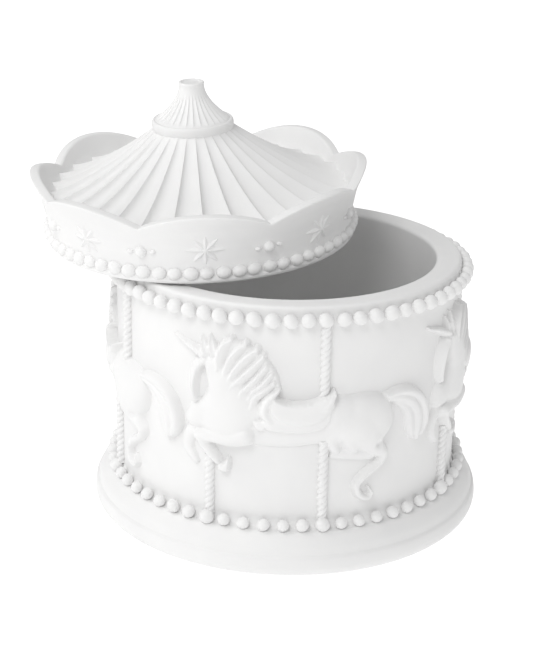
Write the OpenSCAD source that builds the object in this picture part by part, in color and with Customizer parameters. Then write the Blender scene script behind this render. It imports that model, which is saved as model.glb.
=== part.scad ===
// Lidded carousel jar with a wind-up music movement in its base. Millimetres, +Z up.
// Origin: centre of the foot on which the jar stands. The viewer's side is -Y.

/* [Jar] */
// Radius of the foot
base_r = 66; // [60:0.5:72]
// Radius of the cylindrical wall, outside
wall_r = 57.4; // [57:0.1:58]
// Height of the rim above the table
rim_z = 87.1; // [86:0.1:92]
// Radius of the compartment's mouth
mouth_r = 48.3; // [48:0.1:49]
// Height of the compartment floor's top face
floor_z = 37; // [36.5:0.1:38]
// Number of beads in the ring under the rim
up_bead_n = 68; // [48:1:70]
// Number of beads in the ring above the foot
low_bead_n = 60; // [48:1:72]

/* [Unicorns] */
// Angle of the right unicorn round the jar, measured from the front one
right_az = 86; // [84:1:92]
// Angle of the left unicorn round the jar, measured from the front one
left_az = -84; // [-92:1:-84]
// How far the reliefs stand out of the wall
relief_t = 3.4; // [2:0.1:4]

/* [Lid] */
// Outside radius of the lid's bottom flange
lid_r = 51.9; // [51:0.1:53]
// Number of scallops round the lid
scallop_n = 8; // [8:2:8]
// Number of beads round the lid's flange
lid_bead_n = 64; // [48:1:70]
// Number of pleats on the tent roof
pleat_n = 30; // [24:2:40]
// Where the lid rests ajar: how far its centre is to the left
lid_left = 30; // [29:0.5:31]
// Where the lid rests ajar: how far its centre is to the back
lid_back = 10.8; // [10:0.1:12]
// Where the lid rests ajar: height of its bottom at the centre
lid_z = 90.1; // [90.1:0.1:92]
// Lean of the resting lid towards the viewer
lean_front = 2.58; // [2:0.01:2.6]
// Lean of the resting lid towards the left
lean_left = 1.87; // [1:0.01:1.9]
// Turn of the lid about its own axis
lid_spin = 5.1; // [0:0.1:45]

/* [Movement] */
// Height of the bottom cover's underside
cover_z = 10.5; // [10:0.1:11]
// Teeth on the spring barrel's crown wheel
crown_n = 36; // [36:1:36]
// Teeth on the pinion of the pinned cylinder
crown_pinion_n = 10; // [10:1:10]
// Teeth on the cylinder's wheel
cyl_wheel_n = 32; // [32:1:32]
// Teeth on the intermediate pinion
inter_pinion_n = 10; // [10:1:10]
// Teeth on the wheel that drives the worm
worm_wheel_n = 20; // [20:1:20]
// Teeth of the comb
comb_n = 18; // [18:1:18]

/* [Hidden] */
$fn = 96;
eps = 0.01;

ceramic = "#f2f1ee";
brass = "#c9a44c";
steel = "#b8bcc0";
zinc = "#9a9da1";

// ---- jar ----
base_w = base_r - wall_r;          // how far the foot spreads past the wall
recess_r = 48;                     // radius of the hollow under the floor
floor_t = 3.5;
low_bead = [wall_r + 2.4, 15.3, 2.1];   // ring radius, height, bead radius
up_bead = [wall_r + 1.4, rim_z - 4, 2.45];
rim_round = 1.6;
ledge_r = 52;                      // rebate that the bottom cover sits in
cover_t = 2;

module jar_wall() {
  color(ceramic) rotate_extrude($fn = 128) difference() {
    union() {
      // foot, spreading in a bell below the lower beads
      polygon(concat(
        [[mouth_r - 0.3, 0], [base_r - 1.5, 0], [base_r, 1.5]],
        [for (a = [0 : 10 : 90]) [wall_r + 3 + (base_w - 3) * cos(a), 4.5 + 9 * sin(a)]],
        [[wall_r, 17], [wall_r, rim_z - rim_round], [wall_r - rim_round, rim_z],
         [mouth_r + 1, rim_z], [mouth_r, rim_z - 1]]));
    }
    // hollow for the movement, with a rebate for the bottom cover
    translate([0, -1]) square([recess_r, floor_z - floor_t + 1 - 1]);
    translate([0, -1]) square([ledge_r, cover_z + cover_t + 1]);
  }
}

module compartment_floor() {
  color(ceramic) translate([0, 0, floor_z - floor_t]) cylinder(r = mouth_r - 0.3, h = floor_t);
}

module bead_ring(ring, n) {
  for (i = [0 : n - 1]) rotate([0, 0, i * 360 / n]) translate([0, -ring[0], ring[1]])
    sphere(r = ring[2], $fn = 16);
}

module upper_bead_ring() { color(ceramic) bead_ring(up_bead, up_bead_n); }
module lower_bead_ring() { color(ceramic) bead_ring(low_bead, low_bead_n); }

// ---- twisted poles ----
pole_r = 1.6;
pole_pitch = 2.1;
unicorn_az = [0, right_az, 180, left_az];
left_pole_az = -62.5;              // the left unicorn's upper pole stands further back
// angle round the jar, lower end, upper end
poles = concat(
  [for (u = unicorn_az) each [[u + 10.6, 17, 41.5], [u - 24, 17, 36]]],
  [for (u = [0, right_az, 180]) [u + 11, 58, 81.2]],
  [[left_pole_az, 57, 81.2]]);

module pole(h) {
  turns = round(h / pole_pitch);
  step = h / turns;
  rotate_extrude($fn = 20) polygon(concat([[0, 0]],
    [for (i = [0 : turns - 1]) each
      [[pole_r - 0.45, i * step], [pole_r, (i + 0.35) * step], [pole_r, (i + 0.65) * step]]],
    [[pole_r - 0.45, h], [0, h]]));
}

module twisted_poles() {
  color(ceramic) for (p = poles)
    rotate([0, 0, p[0]]) translate([0, -wall_r - 0.5, p[1]]) pole(p[2] - p[1]);
}

// ---- unicorns, galloping to the left as seen from outside ----
// each chain is a list of [distance round the wall, height, half width]
neck = [[-13, 46, 8], [-15, 53, 8], [-16, 61, 7], [-19, 67, 4.5]];
head = [[-24.5, 66.5, 2.6], [-29.6, 62.5, 1.7], [-30.6, 57, 1.6], [-29.5, 53.5, 1.8]];
horn = [[-26.5, 69.8, 1.4], [-37, 73.4, 0.5]];
ears = [[-22.8, 68, 1.8], [-24.2, 75, 0.8]];
mane = [[-18.5, 70, 3.5], [-17, 73.5, 2.6], [-11, 70, 5], [-7, 66, 4.6], [-5, 60, 3.6]];
trunk = [[-12, 50, 10], [0, 50, 9], [11, 51, 8.5], [20, 50, 8]];
haunch = [[22, 49, 9], [26.5, 48.5, 9.3], [22, 43, 8]];
saddle = [[-2.6, 60.3, 0.7], [-5.6, 56.5, 1.7], [-4, 52.5, 2.2], [4, 53.2, 3.2], [10, 55.5, 3], [14.5, 59.6, 0.6]];
near_fore = [[-12, 44.5, 4.5], [-25, 42.5, 2.6], [-22, 36, 1.9], [-19.3, 33.9, 2]];
far_fore = [[-24, 45, 3], [-31, 42.5, 2.4], [-32, 37, 2.2], [-29.3, 33, 1.3]];
near_hind = [[26, 43, 6.5], [31.5, 37.5, 3], [31.8, 34.6, 1.9], [23.8, 28.6, 1.6], [23.2, 25, 1.5],
  [25.6, 22.6, 1.3], [28.2, 22.8, 1]];
far_hind = [[16, 45, 4], [14.5, 40.6, 2.2], [20, 39.5, 2.6], [28, 37.5, 2]];
tail = [[33, 55.2, 1.6], [38, 55, 2.2], [43, 52.6, 3], [46, 48, 4.2], [46, 43, 4], [45.8, 38.6, 1.6]];
// distances round the jar are taken half-way out of the relief
relief_mid_r = wall_r + 1.2;
function unrolled(u) = wall_r * sin(u / relief_mid_r * 180 / PI);
module chain(pts) {
  for (i = [0 : len(pts) - 2]) hull() for (p = [pts[i], pts[i + 1]])
    translate([unrolled(p[0]), p[1]]) circle(r = p[2], $fn = 20);
}

// a flat outline pushed out along the radius and trimmed to the round wall
module relief(depth) {
  intersection() {
    rotate([90, 0, 0]) linear_extrude(height = wall_r + depth + 1) children();
    difference() {
      cylinder(r = wall_r + depth, h = rim_z, $fn = 128);
      translate([0, 0, -1]) cylinder(r = wall_r - 0.4, h = rim_z + 2, $fn = 128);
    }
  }
}

module unicorn(az) {
  color(ceramic) rotate([0, 0, az]) {
    relief(relief_t * 0.5) { chain(far_fore); chain(far_hind); chain(tail); chain(horn); chain(ears); }
    relief(relief_t * 0.8) { chain(neck); chain(trunk); chain(haunch); chain(mane); chain(near_hind); }
    relief(relief_t) { chain(head); chain(near_fore); chain(saddle); }
  }
}

module unicorn_front() { unicorn(unicorn_az[0]); }
module unicorn_right() { unicorn(unicorn_az[1]); }
module unicorn_back() { unicorn(unicorn_az[2]); }
module unicorn_left() { unicorn(unicorn_az[3]); }

// ---- lid ----
cusp = [54.4, 18.5];               // where two scallops meet: radius, height
arch = [56.7, 23.1];               // top of a scallop: radius, height
crown_t = 3.4;
half_chord = cusp[0] * sin(180 / scallop_n);
arch_rise = arch[1] - cusp[1];
arch_r = (half_chord * half_chord + arch_rise * arch_rise) / (2 * arch_rise);
eave = [50.6, 16.2];
collar_r = 13.7;
collar_z = 35.6;
spire_left = 1.5;                  // the spire stands this far left of the lid's centre
lid_h = 51;
roof_t = 3.6;
lug_n = 3;
lug_az = -20;

module lid_place() {
  translate([-lid_left, lid_back, lid_z]) rotate([lean_front, -lean_left, 0])
    rotate([0, 0, lid_spin]) children();
}

module lid_crown() {
  color(ceramic) lid_place() {
    intersection() {
      rotate_extrude($fn = 128) polygon([
        [44, 0], [lid_r - 0.6, 0], [lid_r, 0.6], [lid_r, 2.2], [lid_r - 0.9, 2.8], [lid_r - 0.9, 6],
        [lid_r, 11.7], [cusp[0], cusp[1]], [arch[0] + 0.2, arch[1] + 0.5],
        [arch[0] + 0.2 - crown_t, arch[1] + 1], [eave[0] + 0.1, eave[1]], [48.2, 10], [47.8, 3], [44, 2.5]]);
      for (i = [0 : scallop_n / 2 - 1]) rotate([90, 0, i * 360 / scallop_n])
        translate([0, arch[1] - arch_r, 0]) cylinder(r = arch_r, h = 2 * arch[0] + 10, center = true);
    }
    // lugs under the flange that keep the closed lid centred in the mouth
    for (i = [0 : lug_n - 1]) rotate([0, 0, i * 360 / lug_n + lug_az]) translate([44.2, -4, -3.5])
      cube([2.8, 8, 4.5]);
  }
}

// tent roof: a concave slope with rounded pleats, closed below by a smooth ceiling
slope_n = 8;
function slope_r(t) = collar_r - 1 + (eave[0] - collar_r + 1) * t;
function slope_z(t) = eave[1] + (collar_z + 0.5 - eave[1]) * pow(1 - t, 1.45);
pleat_step = 4;                    // facets in one pleat
roof_az_n = pleat_n * pleat_step;
function pleat(j) = [0, 0.75, 1, 0.75][j % pleat_step];
function ring_at(t, dr, dz, depth) = let (r = slope_r(t) + dr, z = slope_z(t) + dz) [for (j = [0 : roof_az_n - 1])
  [r * cos(j * 360 / roof_az_n) - spire_left * (1 - t), r * sin(j * 360 / roof_az_n), z + depth * (pleat(j) - 1)]];

module lid_roof() {
  outer = [for (k = [0 : slope_n]) ring_at(k / slope_n, 0, 0, k == 0 ? 0 : 1.6)];
  inner = [for (k = [slope_n : -1 : 0]) ring_at(k / slope_n, -0.4, -roof_t, 0)];
  rings = concat(outer, inner);
  pts = concat([[-spire_left, 0, collar_z + 0.5], [-spire_left, 0, collar_z + 0.5 - roof_t]], [for (r = rings) each r]);
  n = roof_az_n;
  last = len(rings) - 1;
  sides = [for (k = [0 : last - 1]) for (j = [0 : n - 1]) let (
      a = 2 + k * n + j, b = 2 + k * n + (j + 1) % n, c = a + n, d = b + n)
    each [[a, b, d], [a, d, c]]];
  top = [for (j = [0 : n - 1]) [0, 2 + (j + 1) % n, 2 + j]];
  ceiling = [for (j = [0 : n - 1]) [1, 2 + last * n + j, 2 + last * n + (j + 1) % n]];
  color(ceramic) lid_place() polyhedron(points = pts, faces = concat(top, sides, ceiling));
}

module lid_finial() {
  color(ceramic) lid_place() translate([-spire_left, 0, 0]) rotate_extrude($fn = 64) polygon(concat(
    [[0, collar_z + 0.5], [collar_r - 0.5, collar_z + 0.5], [collar_r, collar_z + 1],
     [collar_r, collar_z + 3], [collar_r - 0.7, collar_z + 3.5]],
    [for (t = [0 : 0.1 : 1]) [4.4 + 7.6 * pow(1 - t, 1.5), collar_z + 3.5 + (lid_h - collar_z - 4.3) * t]],
    [[4.0, lid_h], [0, lid_h]]));
}

module lid_bead_ring() { color(ceramic) lid_place() bead_ring([lid_r - 0.4, 3.6, 2.1], lid_bead_n); }

// half lengths of a star's rays: level, diagonal, upright, diagonal
star_rays = [6.2, 5.4, 4.6, 5.4];
module lid_stars() {
  color(ceramic) lid_place() for (i = [0 : scallop_n - 1]) rotate([0, 0, i * 360 / scallop_n])
    translate([0, -lid_r + 1, 11.3]) rotate([95, 0, 0]) for (k = [0 : 3]) rotate([0, 0, k * 45])
      linear_extrude(height = 1.9) polygon([[-star_rays[k], 0], [0, -0.8], [star_rays[k], 0], [0, 0.8]]);
}

module lid_bosses() {
  color(ceramic) lid_place() for (i = [0 : scallop_n - 1]) rotate([0, 0, (i + 0.5) * 360 / scallop_n])
    translate([0, -lid_r - 0.1, 10.2]) {
      sphere(r = 1.9, $fn = 20);
      for (s = [-1, 1]) translate([3.4 * s, 0.1, 0]) sphere(r = 0.8, $fn = 12);
    }
}

// ---- movement ----
plate_z = cover_z + cover_t;       // underside of the bedplate
plate_t = 2.5;
plate_top = plate_z + plate_t;
gap = 0.3;                         // between pieces that move past each other
shaft_fit = 0.05;                  // a shaft's clearance in its hole
backlash = 0.12;
wide_m = 0.7;                      // module of the crown wheel and its pinion
fine_m = 0.4;                      // module of the other wheels
crown_r = wide_m * crown_n / 2;
crown_pinion_r = wide_m * crown_pinion_n / 2;
crown_face = 2.1;
barrel_r = crown_r + crown_face / 2;
barrel_in = barrel_r - crown_face;
cyl_z = plate_top + 10.5;          // height of the cylinder's axis
crown_pitch_z = cyl_z - crown_pinion_r;
crown_root_z = crown_pitch_z - 1.25 * wide_m;
cyl_x = [16.2, 33.4];              // ends of the pinned cylinder
cyl_r = 6.2;
pin_h = 0.55;
pins_per_track = 5;
arbor_r = 0.9;                     // cylinder arbor
fine_arbor_r = 0.6;                // intermediate arbor
pivot_r = 0.4;                     // governor pivots
inter_y = 8;
cyl_wheel_r = fine_m * cyl_wheel_n / 2;
inter_pinion_r = fine_m * inter_pinion_n / 2;
centre_d = cyl_wheel_r + inter_pinion_r;
inter_z = cyl_z - sqrt(centre_d * centre_d - inter_y * inter_y);
mesh_a = atan2(inter_z - cyl_z, inter_y);   // direction from the cylinder's axis to the pinion's
cyl_wheel_x = 35.2;
cyl_wheel_t = 1;
worm_wheel_x = 37.6;
worm_wheel_t = 1.2;
worm_wheel_r = fine_m * worm_wheel_n / 2;
worm_r = 1.5;
worm_tip = worm_r + 0.32;
worm_pos = [worm_wheel_x + worm_wheel_t / 2, inter_y + worm_wheel_r + worm_r];
worm_lead = PI * fine_m;
worm_z = [inter_z - 2.5, inter_z + 2.5];
fan_r = 4.2;
fan_z = [28.1, 30.8];
bridge_z = 31.2;
post_t = 1;
comb_t = 1.2;
comb_seat_z = cyl_z - comb_t / 2;
comb_root_y = -20;
comb_back_y = -28.5;
treble_root_l = 4.8;
comb_tip_y = -(cyl_r + pin_h + 0.25);
comb_screw_x = [19.5, 30.5];
plate_screws = [[-13, 13], [-13, -13], [27, 14], [10, -24]];
bracket_screw_at = [36, 16.4];
key_z = [1.5, 9.3];                // the key's lowest and highest points
key_span = 13;
arbor_main_r = 2;                  // winding arbor
arbor_end_r = 1.5;

// involute gear outline, tooth 0 centred on +X
function inv(a) = tan(a) - a * PI / 180;
function half_angle(m, n, r) = let (rp = m * n / 2, rb = rp * cos(20))
  90 / n - backlash / 2 / rp * 180 / PI + (inv(20) - inv(r > rb ? acos(rb / r) : 0)) * 180 / PI;
function flank(m, n) = let (rp = m * n / 2, rb = rp * cos(20), tip = rp + 0.85 * m, root = rp - 1.2 * m)
  concat([root], [for (k = [0 : 4]) let (r0 = max(rb, root + 0.02)) r0 + (tip - r0) * k / 4]);
module gear_2d(m, n) {
  radii = flank(m, n);
  polygon([for (i = [0 : n - 1]) each concat(
    [for (r = radii) let (a = i * 360 / n - half_angle(m, n, r)) [r * cos(a), r * sin(a)]],
    [for (k = [len(radii) - 1 : -1 : 0]) let (r = radii[k], a = i * 360 / n + half_angle(m, n, r))
      [r * cos(a), r * sin(a)]])]);
}

// draws a 2D shape in the Y-Z plane and extrudes it towards +X from x0
module along_x(x0, h) { translate([x0, 0, 0]) rotate([90, 0, 90]) linear_extrude(height = h) children(); }
module rod_x(x0, x1, r, n = 32) { translate([x0, 0, 0]) rotate([0, 90, 0]) cylinder(r = r, h = x1 - x0, $fn = n); }

module screw(head_r, head_h, shank_r, shank_l) {
  difference() {
    union() {
      cylinder(r = head_r, h = head_h, $fn = 32);
      translate([0, 0, -shank_l]) cylinder(r = shank_r, h = shank_l + eps, $fn = 24);
    }
    translate([-head_r - 1, -0.3, head_h - 0.5]) cube([2 * head_r + 2, 0.6, 1]);
  }
}

module bottom_cover() {
  color("#3b3b3d") translate([0, 0, cover_z]) difference() {
    cylinder(r = ledge_r - 0.3, h = cover_t);
    translate([0, 0, -1]) cylinder(r = 5, h = cover_t + 2, $fn = 48);
    for (p = plate_screws) translate([p[0], p[1], -1]) cylinder(r = 1.2, h = cover_t + 2, $fn = 24);
  }
}

module bedplate() {
  color(zinc) difference() {
    union() {
      translate([0, 0, plate_z]) linear_extrude(height = plate_t)
        polygon([[-17, -17], [4, -29.5], [36, -29.5], [41, -21], [41, 19], [-17, 19]]);
      translate([14, comb_back_y, plate_top - eps])
        cube([cyl_x[1] - 12.5, comb_root_y - comb_back_y, comb_seat_z - plate_top + eps]);
      for (x = [14.1, worm_wheel_x + 1.7]) translate([x, -3, plate_top - eps])
        cube([post_t, 6, cyl_z + 2.2 - plate_top]);
    }
    translate([15.6, -8, plate_z - 1]) cube([18.6, 15.5, plate_t + 2]);
    translate([0, 0, plate_z - 1]) cylinder(r = arbor_main_r + shaft_fit, h = plate_t + 2, $fn = 48);
    translate([0, 0, cyl_z]) rod_x(13, 42, arbor_r + shaft_fit);
    for (p = plate_screws) translate([p[0], p[1], plate_z - 1])
      cylinder(r = 1.2, h = plate_t + 2, $fn = 24);
    for (x = comb_screw_x) translate([x, (comb_root_y + comb_back_y) / 2, comb_seat_z - 6])
      cylinder(r = 1.1, h = 8, $fn = 24);
    translate([bracket_screw_at[0], bracket_screw_at[1], plate_z - 1])
      cylinder(r = 0.9, h = plate_t + 2, $fn = 24);
  }
}

module bedplate_screws() {
  color(steel) for (p = plate_screws) translate([p[0], p[1], cover_z]) rotate([180, 0, 0])
    screw(2.2, 1, 1.2, cover_t + plate_t);
}

module comb() {
  x0 = cyl_x[0];
  pitch = (cyl_x[1] - cyl_x[0]) / comb_n;
  tooth_w = 0.72 * pitch;
  color(steel) difference() {
    union() {
      translate([x0 - 1, comb_back_y, comb_seat_z])
        cube([cyl_x[1] - x0 + 2, comb_root_y - comb_back_y + eps, comb_t]);
      for (i = [0 : comb_n - 1]) {
        // the solid root reaches further out under the shorter, treble teeth
        root_l = treble_root_l * i / (comb_n - 1);
        translate([x0 + (i + 0.14) * pitch, comb_root_y, comb_seat_z + 0.35])
          cube([tooth_w, comb_tip_y - comb_root_y, 0.5]);
        translate([x0 + i * pitch, comb_root_y, comb_seat_z + 0.1])
          cube([pitch + eps, root_l + eps, comb_t - 0.2]);
      }
    }
    for (x = comb_screw_x) translate([x, (comb_root_y + comb_back_y) / 2, comb_seat_z - 1])
      cylinder(r = 1.1, h = comb_t + 2, $fn = 24);
  }
}

module comb_screws() {
  color(brass) for (x = comb_screw_x) translate([x, (comb_root_y + comb_back_y) / 2, comb_seat_z + comb_t])
    screw(2.4, 1.3, 1.1, 5);
}

module governor_bracket() {
  base_x = 33.9;
  base_y = 5.2;
  color(brass) difference() {
    union() {
      translate([base_x, base_y, plate_top]) cube([7, 14, 1.2]);
      for (x = [base_x, worm_wheel_x + 1.7]) translate([x, base_y, plate_top])
        cube([post_t, 5.3, inter_z + 2.4 - plate_top]);
      translate([worm_pos[0] - 2, 17.9, plate_top]) cube([4, 1.3, bridge_z + 1 - plate_top]);
      translate([worm_pos[0] - 2, worm_pos[1] - 1.5, bridge_z]) cube([4, 19.2 - worm_pos[1] + 1.5, 1]);
    }
    translate([0, inter_y, inter_z]) rod_x(33, 42, fine_arbor_r + shaft_fit);
    translate([worm_pos[0], worm_pos[1], plate_top - 1]) cylinder(r = pivot_r + shaft_fit, h = 20, $fn = 24);
    translate([bracket_screw_at[0], bracket_screw_at[1], plate_top - 1]) cylinder(r = 0.9, h = 4, $fn = 24);
  }
}

module bracket_screw() {
  color(steel) translate([bracket_screw_at[0], bracket_screw_at[1], plate_top + 1.2])
    screw(1.5, 0.8, 0.9, 3.2);
}

// ---- winding train ----
module winding_arbor() {
  color(steel) {
    translate([0, 0, plate_z - 0.6]) cylinder(r = arbor_main_r, h = crown_root_z + 1 - plate_z + 0.6, $fn = 48);
    translate([0, 0, crown_root_z + 0.3]) cylinder(r = 2.8, h = 0.9, $fn = 32);
    translate([0, 0, key_z[0] + 2]) cylinder(r = arbor_end_r, h = plate_z - 0.6 - key_z[0] - 2 + eps, $fn = 32);
  }
}

module winding_key() {
  color(steel) difference() {
    union() {
      translate([0, 0, key_z[0] + 0.5]) cylinder(r = 3, h = key_z[1] - key_z[0] - 0.5, $fn = 48);
      intersection() {
        translate([-key_span, -0.8, key_z[0]]) cube([2 * key_span, 1.6, key_z[1] - key_z[0] - 1]);
        rotate([90, 0, 0]) union() {
          for (s = [-1, 1]) translate([s * (key_span - 4.5), key_z[0] + 3.4, 0])
            cylinder(r = 4.5, h = 4, center = true, $fn = 48);
          translate([-7, key_z[0] + 0.8, -2]) cube([14, 5, 4]);
        }
      }
    }
    translate([0, 0, key_z[0] + 2]) cylinder(r = arbor_end_r, h = 10, $fn = 32);
  }
}

module spring_barrel() {
  z0 = plate_top + gap;
  tooth = [0.25 * PI * wide_m - backlash / 2 - 0.05, 0.8 * wide_m, tan(20)];
  color(brass) {
    difference() {
      translate([0, 0, z0]) cylinder(r = barrel_r, h = crown_root_z - z0);
      translate([0, 0, z0 + 0.8]) cylinder(r = barrel_in, h = 20);
      translate([0, 0, z0 - 1]) cylinder(r = arbor_main_r + shaft_fit, h = 3, $fn = 48);
    }
    for (k = [0 : crown_n - 1]) rotate([0, 0, k * 360 / crown_n])
      translate([barrel_in + 0.05, 0, crown_pitch_z]) rotate([90, 0, 90])
        linear_extrude(height = crown_face - 0.15) polygon([
          [-tooth[0] - 1.3 * wide_m * tooth[2], -1.3 * wide_m], [tooth[0] + 1.3 * wide_m * tooth[2], -1.3 * wide_m],
          [tooth[0] - tooth[1] * tooth[2], tooth[1]], [-tooth[0] + tooth[1] * tooth[2], tooth[1]]]);
  }
}

module barrel_cap() {
  color(steel) translate([0, 0, crown_root_z - 0.7]) difference() {
    cylinder(r = barrel_in - 0.02, h = 0.6);
    translate([0, 0, -1]) cylinder(r = arbor_main_r + shaft_fit, h = 3, $fn = 48);
  }
}

// a flat steel ribbon wound in a spiral between the arbor and the barrel's wall
spring_turns = 7;
spring_t = 0.35;
function spring_r(a) = 2.8 + (barrel_in - 3.4) * a / (360 * spring_turns);
module mainspring() {
  angles = [0 : 15 : 360 * spring_turns];
  color(steel) translate([0, 0, plate_top + gap + 1]) linear_extrude(height = crown_root_z - plate_top - gap - 2.1)
    polygon(concat(
      [for (a = angles) spring_r(a) * [cos(a), sin(a)]],
      [for (a = [360 * spring_turns : -15 : 0]) (spring_r(a) + spring_t) * [cos(a), sin(a)]]));
}

// ---- cylinder ----
module pinned_cylinder() {
  pitch = (cyl_x[1] - cyl_x[0]) / comb_n;
  color(brass) translate([0, 0, cyl_z]) difference() {
    union() {
      rod_x(cyl_x[0], cyl_x[1], cyl_r, 96);
      for (t = [0 : comb_n - 1]) for (k = [0 : pins_per_track - 1])
        rotate([(k + 0.31 * ((t * 7) % 5) + 0.13 * ((t * 3) % 4)) * 360 / pins_per_track, 0, 0])
          translate([cyl_x[0] + (t + 0.5) * pitch, 0, cyl_r - 0.3]) cylinder(r = 0.2, h = pin_h + 0.3, $fn = 6);
    }
    rod_x(0, 40, arbor_r);
  }
}

module cylinder_arbor() { color(steel) translate([0, 0, cyl_z]) rod_x(11.2, worm_wheel_x + 3.2, arbor_r); }

module crown_pinion() {
  color(brass) translate([0, 0, cyl_z]) difference() {
    along_x(barrel_in + 0.1, crown_face - 0.2) rotate(-90 + 180 / crown_pinion_n)
      gear_2d(wide_m, crown_pinion_n);
    rod_x(0, 40, arbor_r);
  }
}

module cylinder_wheel() {
  color(brass) translate([0, 0, cyl_z]) difference() {
    along_x(cyl_wheel_x, cyl_wheel_t) rotate(mesh_a) gear_2d(fine_m, cyl_wheel_n);
    rod_x(0, 40, arbor_r);
  }
}

// ---- governor ----
module intermediate_arbor() {
  color(steel) translate([0, inter_y, inter_z]) rod_x(33.7, worm_wheel_x + 2.9, fine_arbor_r);
}

module intermediate_pinion() {
  color(brass) translate([0, inter_y, inter_z]) difference() {
    along_x(cyl_wheel_x - 0.2, cyl_wheel_t + 0.5) rotate(mesh_a + 180 + 180 / inter_pinion_n)
      gear_2d(fine_m, inter_pinion_n);
    rod_x(0, 42, fine_arbor_r);
  }
}

module worm_wheel() {
  color("#e8e4d8") translate([0, inter_y, inter_z]) difference() {
    along_x(worm_wheel_x, worm_wheel_t) gear_2d(fine_m, worm_wheel_n);
    rod_x(0, 42, fine_arbor_r);
  }
}

// radius of the single-start thread at an angle of its cross-section
function thread_r(a) = let (d = abs(a - 180) / 180 * worm_lead / 2, half = 0.12)
  d < half ? worm_tip : max(worm_r - 0.48, worm_tip - (d - half) / tan(20) * 0.9);
module governor_worm() {
  color(steel) translate([worm_pos[0], worm_pos[1], 0]) {
    translate([0, 0, worm_z[0]]) rotate([0, 0, 360 * (2.5 / worm_lead - 0.25)]) linear_extrude(height = worm_z[1] - worm_z[0],
        twist = 360 * (worm_z[1] - worm_z[0]) / worm_lead, slices = 64, $fn = 24)
      polygon([for (a = [0 : 15 : 345]) thread_r(a) * [cos(a), sin(a)]]);
    translate([0, 0, plate_top + 1.6]) cylinder(r = 0.75, h = bridge_z - 0.4 - plate_top - 1.6, $fn = 24);
    translate([0, 0, plate_top + 0.3]) cylinder(r = pivot_r, h = bridge_z + 0.8 - plate_top - 0.3, $fn = 24);
  }
}

module governor_fan() {
  color("#d8d4c8") translate([worm_pos[0], worm_pos[1], fan_z[0]]) difference() {
    union() {
      cylinder(r = 1.4, h = fan_z[1] - fan_z[0], $fn = 32);
      translate([-fan_r, -0.2, 0]) cube([2 * fan_r, 0.4, fan_z[1] - fan_z[0]]);
    }
    translate([0, 0, -1]) cylinder(r = 0.75, h = 6, $fn = 24);
  }
}

jar_wall();
compartment_floor();
upper_bead_ring();
lower_bead_ring();
twisted_poles();
unicorn_front();
unicorn_right();
unicorn_back();
unicorn_left();
lid_crown();
lid_roof();
lid_finial();
lid_bead_ring();
lid_stars();
lid_bosses();
bottom_cover();
bedplate();
bedplate_screws();
comb();
comb_screws();
governor_bracket();
bracket_screw();
winding_arbor();
winding_key();
spring_barrel();
barrel_cap();
mainspring();
pinned_cylinder();
cylinder_arbor();
crown_pinion();
cylinder_wheel();
intermediate_arbor();
intermediate_pinion();
worm_wheel();
governor_worm();
governor_fan();
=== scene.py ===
"""A bisque carousel jar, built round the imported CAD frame. The movement in its base, its cover and its
key are the CAD nodes as packed."""
import math
import random

import bpy
import numpy as np
from mathutils import Matrix, Vector


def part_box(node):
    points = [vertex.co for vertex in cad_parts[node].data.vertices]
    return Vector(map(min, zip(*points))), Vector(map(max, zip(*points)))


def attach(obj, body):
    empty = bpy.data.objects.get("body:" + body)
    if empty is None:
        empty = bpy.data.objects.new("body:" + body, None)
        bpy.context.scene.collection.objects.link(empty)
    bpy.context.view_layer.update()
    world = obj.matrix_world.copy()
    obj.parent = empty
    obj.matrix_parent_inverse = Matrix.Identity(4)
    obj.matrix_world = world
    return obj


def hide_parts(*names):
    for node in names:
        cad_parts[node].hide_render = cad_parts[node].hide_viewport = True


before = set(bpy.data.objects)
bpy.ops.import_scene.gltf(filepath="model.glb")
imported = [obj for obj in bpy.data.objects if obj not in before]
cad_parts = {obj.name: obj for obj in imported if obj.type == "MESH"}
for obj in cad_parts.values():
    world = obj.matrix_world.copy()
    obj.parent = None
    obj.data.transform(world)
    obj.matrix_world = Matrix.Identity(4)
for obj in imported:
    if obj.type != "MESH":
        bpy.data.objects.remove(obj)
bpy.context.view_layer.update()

MM = 0.001
random.seed(7)

# ---- sizes, in millimetres, read from the frame where it holds them ----
FOOT_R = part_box("jar_wall")[1].x / MM
RIM_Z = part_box("jar_wall")[1].z / MM
FLOOR_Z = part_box("compartment_floor")[1].z / MM
FLOOR_UNDER_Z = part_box("compartment_floor")[0].z / MM
COVER_TOP_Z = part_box("bottom_cover")[1].z / MM
WALL_R = 57.4                  # outside of the cylindrical wall
MOUTH_R = 48.3                 # inside of the compartment
RECESS_R = 48.0                # hollow that holds the movement
LEDGE_R = 52.0                 # rebate for the bottom cover
UNICORN_AZ = [0, 86, 180, -84] # degrees from the front, towards the right
UNICORN_NODES = ["unicorn_front", "unicorn_right", "unicorn_back", "unicorn_left"]

# the lid's resting place: the same lean and turn as in the CAD model
LID_PLACE = (Matrix.Translation((-30 * MM, 10.8 * MM, 90.1 * MM))
             @ Matrix.Rotation(math.radians(-1.87), 4, "Y")
             @ Matrix.Rotation(math.radians(2.58), 4, "X")
             @ Matrix.Rotation(math.radians(5.1), 4, "Z"))
SCALLOPS = 8
ARCH_TOP = 23.1                # height of a scallop's top over the lid's bottom
ARCH_R = 46.6                  # radius of a scallop's arc
ARCH_FROM_R = 55               # distance from the lid's axis at which the arcs are drawn
VALANCE_T = 3.4                # thickness of the scalloped band
VALANCE_R = 51                 # outside of the band below its flare
FLARE_FROM = 5                 # height at which the flare starts
FLARE = 0.0158                 # how fast it widens, per millimetre
PLEATS = 30
ROOF_TOP_R = 12.7              # where the roof meets the collar
ROOF_EDGE_R = 50.6             # where it meets the band
ROOF_EDGE_Z = 16.6
ROOF_RISE = 19.5
ROOF_CURVE = 1.45              # power of the roof's slope; 1 would be a cone
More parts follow.
